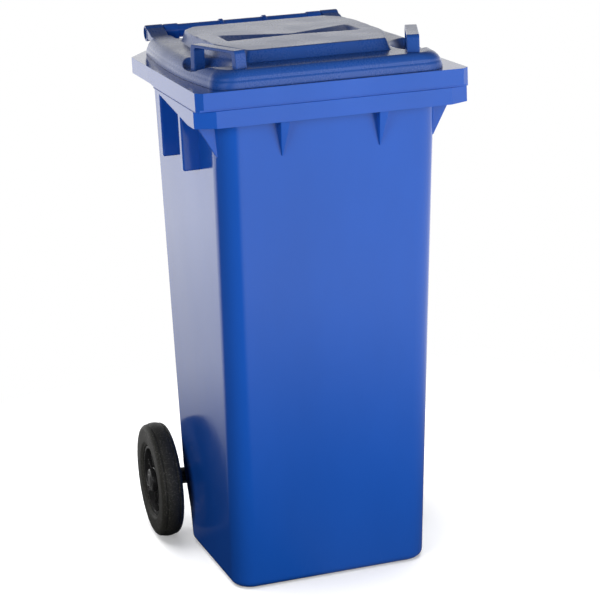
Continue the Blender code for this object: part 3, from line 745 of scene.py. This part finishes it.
def smooth_step(value):
    """Ease from 0 to 1, clamped."""
    t = np.clip(value, 0.0, 1.0)
    return t * t * (3.0 - 2.0 * t)


def plateau_depth(x, y):
    """Distance inside the plateau's foot line, with its corners rounded."""
    ring = list(PLATEAU_HALF) + [(-px, py) for px, py in reversed(PLATEAU_HALF)]
    sharpness = 700.0
    total = np.zeros_like(x)
    for (ax, ay), (bx, by) in zip(ring, ring[1:] + ring[:1]):
        length = math.hypot(bx - ax, by - ay)
        distance = ((bx - ax) * (y - ay) - (by - ay) * (x - ax)) / length
        total += np.exp(-sharpness * np.clip(distance, -0.05, 0.2))
    return -np.log(total) / sharpness


def strap_axes(sign):
    """A handle's front foot, its length, and its directions along and across in plan."""
    front = Vector((sign * STRAP_FRONT.x, STRAP_FRONT.y, 0.0))
    rear = Vector((sign * STRAP_REAR.x, STRAP_REAR.y, 0.0))
    along = (rear - front).normalized()
    return front, (rear - front).length, along, Vector((along.y, -along.x, 0.0))


def groove_depth(wide, y):
    """Bow-tie grip groove: steep at its front edge, a long slope up to its rear edge."""
    front = np.interp(wide, (0.0, 0.105), (-0.0495, -0.0630))
    rear = np.interp(wide, (0.0, 0.105), (-0.0410, 0.0080))
    span = rear - front
    across = np.clip((y - front) / span, 0.0, 1.0)
    fall = np.minimum(smooth_step(across / 0.12), (1.0 - across) / 0.85)
    deepest = np.interp(span, (0.0085, 0.040), (0.0030, 0.0115))
    return deepest * fall * smooth_step((0.114 - wide) / 0.006)


def pocket_depth(x, y, sign):
    """Oval finger pocket, which lies along the handle above it."""
    _, _, along, side = strap_axes(sign)
    dx, dy = x - sign * POCKET.x, y - POCKET.y
    run = (dx * along.x + dy * along.y) / POCKET_HALF_LENGTH
    off = (dx * side.x + dy * side.y) / POCKET_HALF_WIDTH
    return POCKET_DEPTH * smooth_step((1.0 - np.sqrt(run ** 2 + off ** 2)) / 0.30)


def lid_height(x, y, with_pockets=True):
    """Height of the lid's top surface over its plan."""
    wide = np.abs(x)
    height = LID_BORDER + PLATEAU_RISE * smooth_step(plateau_depth(x, y) / PLATEAU_SLOPE)
    height -= groove_depth(wide, y)
    # lower zone in front of the push bar
    low = smooth_step((y - 0.150) / 0.010) * smooth_step((0.1455 - wide) / 0.007)
    height = height * (1.0 - low) + REAR_STEP * low
    if with_pockets:
        for sign in (-1, 1):
            height -= pocket_depth(x, y, sign)
    return height


def lid_layers(steps=26):
    """Heights of the rolled edge, as a share of its rise, with the insets at front, sides and rear."""
    rise = LID_BORDER - LID_LOW.z
    lip = 0.0090                        # the front and rear are upright up to here
    for step in range(steps + 1):
        share = math.sin(math.pi / 2 * step / steps)
        above_lip = max(0.0, (share * rise - lip) / (rise - lip))
        round_in = 1.0 - math.sqrt(max(0.0, 1.0 - above_lip ** 2))
        soft_in = 1.0 - math.sqrt(max(0.0, 1.0 - share ** 2))
        line = 0.0013 * math.exp(-((share - 0.46) / 0.07) ** 2)     # shallow moulded line
        draft = 0.0004 * share
        yield (share, draft + 0.0116 * round_in + line, 0.0230 * soft_in + 0.5 * line,
               draft + 0.0076 * round_in)


def lid_edge(bm, nx, ny):
    """Rolled edge of the lid; gives its last ring and the four paths around the top."""
    rings = []
    for share, *insets in lid_layers():
        front = resample(end_path(*insets, True), nx)
        rear = resample(end_path(*insets, False), nx)
        right = resample(side_path(*insets), ny)
        left = right * np.array([-1.0, 1.0])
        ring = np.concatenate([front[:-1], right[:-1], rear[::-1][:-1], left[::-1][:-1]])
        rolled = LID_LOW.z + (lid_height(ring[:, 0], ring[:, 1], False) - LID_LOW.z) * share
        heights = np.minimum(rolled, lid_height(ring[:, 0], ring[:, 1]))
        rings.append([bm.verts.new((x, y, z)) for (x, y), z in zip(ring, heights)])
    for low, high in zip(rings, rings[1:]):
        for i in range(len(low)):
            j = (i + 1) % len(low)
            bm.faces.new((low[i], low[j], high[j], high[i]))
    return rings[-1], (front, rear, left, right)


def blend_paths(front, rear, left, right):
    """Plan points of the top, spread between its four paths."""
    u = np.linspace(0.0, 1.0, len(front))[:, None, None]
    v = np.linspace(0.0, 1.0, len(left))[None, :, None]
    plan = (1 - v) * front[:, None, :] + v * rear[:, None, :]
    plan = plan + (1 - u) * left[None, :, :] + u * right[None, :, :]
    corners = (1 - u) * (1 - v) * front[0] + u * (1 - v) * front[-1]
    corners = corners + (1 - u) * v * rear[0] + u * v * rear[-1]
    return plan - corners


def lid_shell():
    """One moulded skin: rolled edge, flat border, plateau, groove and pockets."""
    nx, ny = 176, 196
    bm = bmesh.new()
    last, paths = lid_edge(bm, nx, ny)
    plan = blend_paths(*paths)
    heights = lid_height(plan[:, :, 0], plan[:, :, 1])
    count = len(last)

    def top_vertex(i, j):
        """Vertex of the top's grid; its border is the last ring of the edge."""
        if j == 0:
            return last[i]
        if i == nx:
            return last[(nx + j) % count]
        if j == ny:
            return last[nx + ny + (nx - i)]
        if i == 0:
            return last[count - j]
        return bm.verts.new((plan[i, j, 0], plan[i, j, 1], heights[i, j]))

    grid = [[top_vertex(i, j) for j in range(ny + 1)] for i in range(nx + 1)]
    for i in range(nx):
        for j in range(ny):
            bm.faces.new((grid[i][j], grid[i + 1][j], grid[i + 1][j + 1], grid[i][j + 1]))
    skin = from_bmesh("lid_skin", bm)
    if skin.data.polygons[-1].normal.z < 0:
        skin.data.flip_normals()
    solid = skin.modifiers.new("thickness", 'SOLIDIFY')
    solid.thickness = LID_SHELL
    solid.offset = -1.0
    return work_out(skin)


def lid_strap(sign):
    """Bridge handle: splayed feet, flat grip."""
    front, length, along, across = strap_axes(sign)
    half_width = 0.0100
    top = LID_HIGH.z
    under = top - 0.0048
    front_foot = LID_BORDER - 0.0020
    rear_foot = LID_BORDER - POCKET_DEPTH - 0.0015
    outline = [(-0.0062, front_foot), (0.0062, front_foot), (0.0070, top - 0.0085), (0.0100, under),
               (length - 0.0100, under), (length - 0.0070, top - 0.0085), (length - 0.0062, rear_foot),
               (length + 0.0062, rear_foot), (length + 0.0038, top - 0.0040), (length + 0.0008, top),
               (-0.0008, top), (-0.0038, top - 0.0040)]
    rings = []
    for side in (-half_width, half_width):
        rings.append([tuple(front + along * run + across * side + Vector((0, 0, z)))
                      for run, z in outline])
    return soften(loft("strap", rings), 0.0014, 3, 24.0)


def hinge_arm(sign):
    """Arm and hollow-ended barrel around the hinge pin."""
    x0, x1 = sorted((sign * ARM_INNER, sign * ARM_OUTER))
    root, end = 0.180, HINGE_Y - 0.002
    arm = prism("arm", x0 + 0.0006, x1 - 0.0006, [
        (root, 0.8930), (end, 0.8935), (end, HINGE_Z + 0.0115),
        (0.222, HINGE_Z + 0.0060), (0.205, LID_BORDER - 0.0005), (root, LID_BORDER - 0.0015)])
    soften(arm, 0.0018, 3, 20.0)
    edge = 0.0014
    mouth = 0.0100
    sink = ARM_OUTER - 0.0118
    profile = [(mouth, ARM_OUTER - 0.0006), (mouth + 0.0006, ARM_OUTER),
               (BARREL_RADIUS - edge, ARM_OUTER), (BARREL_RADIUS - 0.0004, ARM_OUTER - 0.0005),
               (BARREL_RADIUS, ARM_OUTER - edge), (BARREL_RADIUS, ARM_INNER + edge),
               (BARREL_RADIUS - edge, ARM_INNER), (PIN_HOLE, ARM_INNER), (PIN_HOLE, sink), (mouth, sink)]
    barrel = turned("barrel", profile, sign, HINGE_Y, HINGE_Z, 56)
    clearing = rod("arm_hole", 0.0125, ARM_INNER - 0.001, ARM_OUTER + 0.001, sign, HINGE_Y, HINGE_Z, 56)
    combine(arm, [clearing], 'DIFFERENCE')
    return [arm, barrel]


def build_lid():
    """Shell, handles and hinge arms as one moulding."""
    pieces = [lid_shell()]
    for sign in (-1, 1):
        pieces.append(lid_strap(sign))
        pieces += hinge_arm(sign)
    lid = join("lid_moulding", pieces)
    finish_surface(lid, 40.0)
    place(lid, "moulded_lid", "lid", "lid_plastic", ["lid"])


# ---------------------------------------------------------------- wheels
def arc(cx, cy, radius, start, end, steps):
    """Round stretch of a profile, as (radius, distance) points; its angles are in degrees."""
    angles = np.radians(np.linspace(start, end, steps + 1))
    return [(cx + radius * math.cos(a), cy + radius * math.sin(a)) for a in angles]


def build_tyre(side, sign):
    """Solid tyre with round shoulders, a raised bead line and a mould line on each shoulder."""
    half = TYRE_HALF
    tread = WHEEL_RADIUS
    right = [(TYRE_BORE, half - 0.0050), (TYRE_BORE + 0.0010, half - 0.0036),
             (TYRE_BORE + 0.0032, half - 0.0030), (TYRE_BORE + 0.0042, half - 0.0018),
             (TYRE_BORE + 0.0062, half - 0.0010), (TYRE_BORE + 0.0090, half), (tread - 0.0150, half)]
    right += arc(tread - 0.0125, half - 0.0110, 0.0110, 84, 20, 8)
    line = half - 0.0095
    right += [(tread - 0.0021, line + 0.0009), (tread - 0.0030, line), (tread - 0.0017, line - 0.0009)]
    right += [(tread - 0.0006, half - 0.0140), (tread, half - 0.0180)]
    profile = right + [(radius, -distance) for radius, distance in reversed(right)]
    tyre = turned("tyre", [(radius, WHEEL_MIDDLE + distance) for radius, distance in profile],
                  sign, AXLE_Y, AXLE_Z, 128)
    finish_surface(tyre, 30.0)
    place(tyre, f"rubber_tyre_{side}", f"wheel_{side}", "tyre_rubber", [f"tyre_{side}"])


def disc_profile(web_in, web_out):
    """Half section of the wheel disc: hub, dished web and bead flange."""
    bore, seat = 0.0136, TYRE_BORE - 0.0003
    hub_in = TYRE_LOW.x + 0.0006
    hub_out = TYRE_HIGH.x - 0.0100
    flange_out = WHEEL_MIDDLE + 0.0150
    flange_in = WHEEL_MIDDLE - 0.0140
    return [(bore, hub_out), (0.0216, hub_out), (0.0226, hub_out - 0.0008), (0.0236, web_out + 0.0010),
            (0.0252, web_out), (0.0535, web_out), (0.0556, web_out + 0.0012),
            (0.0580, flange_out - 0.0015), (0.0588, flange_out - 0.0002), (0.0600, flange_out),
            (seat - 0.0006, flange_out), (seat, flange_out - 0.0007),
            (seat, flange_in + 0.0007), (seat - 0.0006, flange_in), (0.0585, flange_in),
            (0.0573, flange_in + 0.0010), (0.0550, web_in - 0.0008), (0.0538, web_in),
            (0.0228, web_in), (0.0212, web_in - 0.0010), (0.0190, hub_in), (bore, hub_in)]


def disc_ribs(sign, foot, count=8):
    """Stiffening ribs on the outer face of the disc."""
    upright = Matrix(((0, 0, 1, 0), (0, 1, 0, 0), (-1, 0, 0, 0), (0, 0, 0, 1)))
    mirror = Matrix.Diagonal((sign, 1.0, 1.0, 1.0))
    inner, outer = 0.0235, 0.0570
    ribs = []
    for step in range(count):
        rib = loft("rib", [level(-0.0013, 0.0013, inner, outer, foot - 0.001),
                           level(-0.0009, 0.0009, inner, outer, foot + 0.0062)])
        soften(rib, 0.0005, 2)
        turn = Matrix.Rotation(math.radians(22.5 + 45 * step), 4, 'X')
        rib.data.transform(Matrix.Translation((0.0, AXLE_Y, AXLE_Z)) @ mirror @ turn @ upright)
        if sign < 0:
            rib.data.flip_normals()
        ribs.append(rib)
    return ribs


def build_disc(side, sign):
    """Moulded wheel disc with stiffening ribs and four rivet seats."""
    web_in, web_out = WHEEL_MIDDLE - 0.0045, WHEEL_MIDDLE + 0.0033
    disc = turned("disc", disc_profile(web_in, web_out), sign, AXLE_Y, AXLE_Z, 96)
    combine(disc, disc_ribs(sign, web_out), 'UNION')
    pad_radius, edge = 0.0086, 0.0008
    pad_top, pad_root = web_out + 0.0002, web_out - 0.0020
    pad = [(0.0, pad_top), (pad_radius - edge, pad_top), (pad_radius, pad_top - edge),
           (pad_radius, pad_root), (0.0, pad_root)]
    holes, pads = [], []
    for step in range(4):
        low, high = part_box(f"rim_rivet_{side}_{step + 1}")
        y, z = (low.y + high.y) / 2, (low.z + high.z) / 2
        pads.append(turned("rivet_pad", pad, sign, y, z, 32))
        holes.append(rod("rivet_hole", 0.0034, WHEEL_MIDDLE - 0.012, WHEEL_MIDDLE + 0.006,
                         sign, y, z, 24))
    combine(disc, pads, 'UNION')
    combine(disc, holes, 'DIFFERENCE')
    finish_surface(disc, 30.0)
    place(disc, f"wheel_disc_{side}", f"wheel_{side}", "wheel_plastic", [f"wheel_rim_{side}"])


def build_cap(side, sign):
    """Snap-in hub cap with a stepped crown."""
    low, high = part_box(f"hub_cap_{side}")
    inner, outer = sorted((abs(low.x), abs(high.x)))
    crown = [(0.0, outer), (0.0100, outer - 0.0001), (0.0112, outer - 0.0004), (0.0120, outer - 0.0012),
             (0.0158, outer - 0.0014)]
    crown += arc(0.0172, outer - 0.0054, 0.0040, 90, 20, 5)
    skirt = [(0.0218, inner + 0.0012), (0.0212, inner), (0.0178, inner), (0.0174, inner + 0.0047),
             (0.0150, inner + 0.0060), (0.0, inner + 0.0060)]
    cap = turned("cap", crown + skirt, sign, AXLE_Y, AXLE_Z, 64)
    finish_surface(cap, 35.0)
    place(cap, f"cap_{side}", f"wheel_{side}", "wheel_plastic", [f"hub_cap_{side}"])


# ---------------------------------------------------------------- camera, light and floor
def add_camera():
    """Camera in front, a little to the left and above, slightly rolled."""
    azimuth, elevation, roll = (math.radians(angle) for angle in CAMERA_ANGLES)
    back = Vector((math.sin(azimuth) * math.cos(elevation), -math.cos(azimuth) * math.cos(elevation),
                   math.sin(elevation)))
    right = (-back).cross(Vector((0.0, 0.0, 1.0))).normalized()
    up = right.cross(-back)
    tilted_right = right * math.cos(roll) + up * math.sin(roll)
    tilted_up = up * math.cos(roll) - right * math.sin(roll)
    spot = CAMERA_TARGET + back * CAMERA_DISTANCE - tilted_right * CAMERA_LEFT + tilted_up * CAMERA_UP
    camera = bpy.data.objects.new("camera", bpy.data.cameras.new("camera"))
    camera.data.sensor_width = 36.0
    camera.data.lens = 110.9
    turn = Matrix((tilted_right, tilted_up, back)).transposed().to_4x4()
    camera.matrix_world = Matrix.Translation(spot) @ turn
    SCENE.collection.objects.link(camera)
    SCENE.camera = camera


def area_light(name, spot, target, width, height, power):
    """Rectangular light that points at a target."""
    data = bpy.data.lights.new(name, 'AREA')
    data.shape = 'RECTANGLE'
    data.size = width
    data.size_y = height
    data.energy = power
    light = bpy.data.objects.new(name, data)
    light.location = spot
    light.rotation_euler = (Vector(target) - Vector(spot)).to_track_quat('-Z', 'Y').to_euler()
    SCENE.collection.objects.link(light)
    return light


def light_only(light, name, objects):
    """Link a light to a few objects, so that it lights nothing else."""
    group = bpy.data.collections.new(name)
    for obj in objects:
        group.objects.link(obj)
    light.light_linking.receiver_collection = group


def studio_sides(tree, vector):
    """Two signals by compass direction: brightness, low at the dark flat, and nearness to the back."""
    flat = vector_maths(tree, 'MULTIPLY', vector, (1.0, 1.0, 0.0))["Vector"]
    unit = vector_maths(tree, 'NORMALIZE', flat)["Vector"]
    to_flat = vector_maths(tree, 'DOT_PRODUCT', unit, DARK_FLAT)["Value"]
    to_back = vector_maths(tree, 'DOT_PRODUCT', unit, STUDIO_BACK)["Value"]
    return ramp(tree, to_flat, 0.42, 0.66, 1.10, 0.09), ramp(tree, to_back, 0.2, 0.8, 0.0, 1.0)


def show_to_camera(tree, seen, elsewhere, out):
    """Surface that looks like one shader to the camera and lights the rest like another."""
    path = tree.nodes.new("ShaderNodeLightPath")
    choose = tree.nodes.new("ShaderNodeMixShader")
    tree.links.new(path.outputs["Is Camera Ray"], choose.inputs["Fac"])
    tree.links.new(elsewhere, choose.inputs[1])
    tree.links.new(seen, choose.inputs[2])
    tree.links.new(choose.outputs["Shader"], out.inputs["Surface"])


def floor_material():
    """Paper that is white to the camera away from the bin; to everything else it glows as painted light,
    with painted shade dimming it towards the bin.
    """
    mat = bpy.data.materials.new("floor_paper")
    mat.use_nodes = True
    tree = mat.node_tree
    tree.nodes.clear()
    where = tree.nodes.new("ShaderNodeNewGeometry").outputs["Position"]
    distance = vector_maths(tree, 'LENGTH', where)["Value"]
    brightness, backness = studio_sides(tree, where)
    far_behind = maths(tree, 'MULTIPLY', backness, ramp(tree, distance, 1.3, 2.6, 0.0, 0.45))
    brightness = maths(tree, 'MULTIPLY', brightness, maths(tree, 'ADD', far_behind, 1.0))
    # painted shade: the floor's painted glow, seen only in reflections and lighting, dims towards the
    # bin
    painted_shade_near_bin = ramp(tree, distance, 0.36, 1.34, 0.10, 1.0, smooth=True)
    glow = tree.nodes.new("ShaderNodeEmission")
    tree.links.new(maths(tree, 'MULTIPLY', painted_shade_near_bin, brightness), glow.inputs["Strength"])
    paper = tree.nodes.new("ShaderNodeBsdfDiffuse")
    paper.inputs["Color"].default_value = (0.93, 0.93, 0.93, 1.0)
    lit = tree.nodes.new("ShaderNodeEmission")
    near = tree.nodes.new("ShaderNodeMixShader")
    tree.links.new(ramp(tree, distance, 0.55, 1.10, 0.26, 1.0), near.inputs["Fac"])
    tree.links.new(paper.outputs["BSDF"], near.inputs[1])
    tree.links.new(lit.outputs["Emission"], near.inputs[2])
    out = tree.nodes.new("ShaderNodeOutputMaterial")
    show_to_camera(tree, near.outputs["Shader"], glow.outputs["Emission"], out)
    return mat


def add_floor():
    """Wide floor just under the bin."""
    bm = bmesh.new()
    bmesh.ops.create_grid(bm, x_segments=1, y_segments=1, size=40.0)
    floor = from_bmesh("floor", bm)
    if floor.data.polygons[0].normal.z < 0:
        floor.data.flip_normals()
    floor.location.z = -0.0004
    floor.data.materials.append(floor_material())
    return floor


def add_world():
    """White to the camera; a bright band round the horizon under a dim ceiling for everything else."""
    world = bpy.data.worlds.new("studio")
    SCENE.world = world
    world.use_nodes = True
    tree = world.node_tree
    tree.nodes.clear()
    direction = tree.nodes.new("ShaderNodeTexCoord").outputs["Generated"]
    split = tree.nodes.new("ShaderNodeSeparateXYZ")
    tree.links.new(direction, split.inputs["Vector"])
    band = ramp(tree, split.outputs["Z"], 0.12, 0.48, 1.10, 0.14)
    brightness, backness = studio_sides(tree, direction)
    brightness = maths(tree, 'MULTIPLY', brightness, ramp(tree, backness, 0.0, 1.0, 1.0, 1.45))
    studio = tree.nodes.new("ShaderNodeBackground")
    tree.links.new(maths(tree, 'MULTIPLY', band, brightness), studio.inputs["Strength"])
    white = tree.nodes.new("ShaderNodeBackground")
    white.inputs["Color"].default_value = (1.0, 1.0, 1.0, 1.0)
    out = tree.nodes.new("ShaderNodeOutputWorld")
    show_to_camera(tree, white.outputs["Background"], studio.outputs["Background"], out)


def add_lights(floor):
    """Soft key and fill, small glints, and an overhead light that only whitens the floor."""
    key = area_light("key", (0.95, -2.1, 0.85), (0.0, -0.2, 0.5), 1.3, 1.5, 28.0)
    key.visible_glossy = False
    fill = area_light("fill", (-2.0, -1.5, 1.1), (0.0, 0.0, 0.45), 1.4, 1.4, 29.0)
    fill.visible_glossy = False
    area_light("glint", (-1.5, -1.9, 1.62), (0.0, 0.0, 0.88), 0.10, 0.30, 3.0)
    wheel_glint = area_light("wheel_glint", (-2.3, -1.1, 0.45), (-0.25, 0.16, 0.10), 0.12, 0.50, 9.0)
    names = ("wheel_disc", "cap_", "rim_rivet")
    fittings = [obj for obj in bpy.data.objects if obj.name.startswith(names)]
    light_only(wheel_glint, "wheel_fittings", fittings)
    overhead = area_light("overhead", (-0.3, 0.4, 3.2), (0.0, 0.1, 0.0), 4.0, 4.0, 260.0)
    light_only(overhead, "floor_only", [floor])


give_frame_materials()
build_body()
build_lid()
for side, sign in (("left", -1), ("right", 1)):
    build_tyre(side, sign)
    build_disc(side, sign)
    build_cap(side, sign)
add_world()
add_lights(add_floor())
add_camera()
SCENE.view_settings.view_transform = 'Standard'
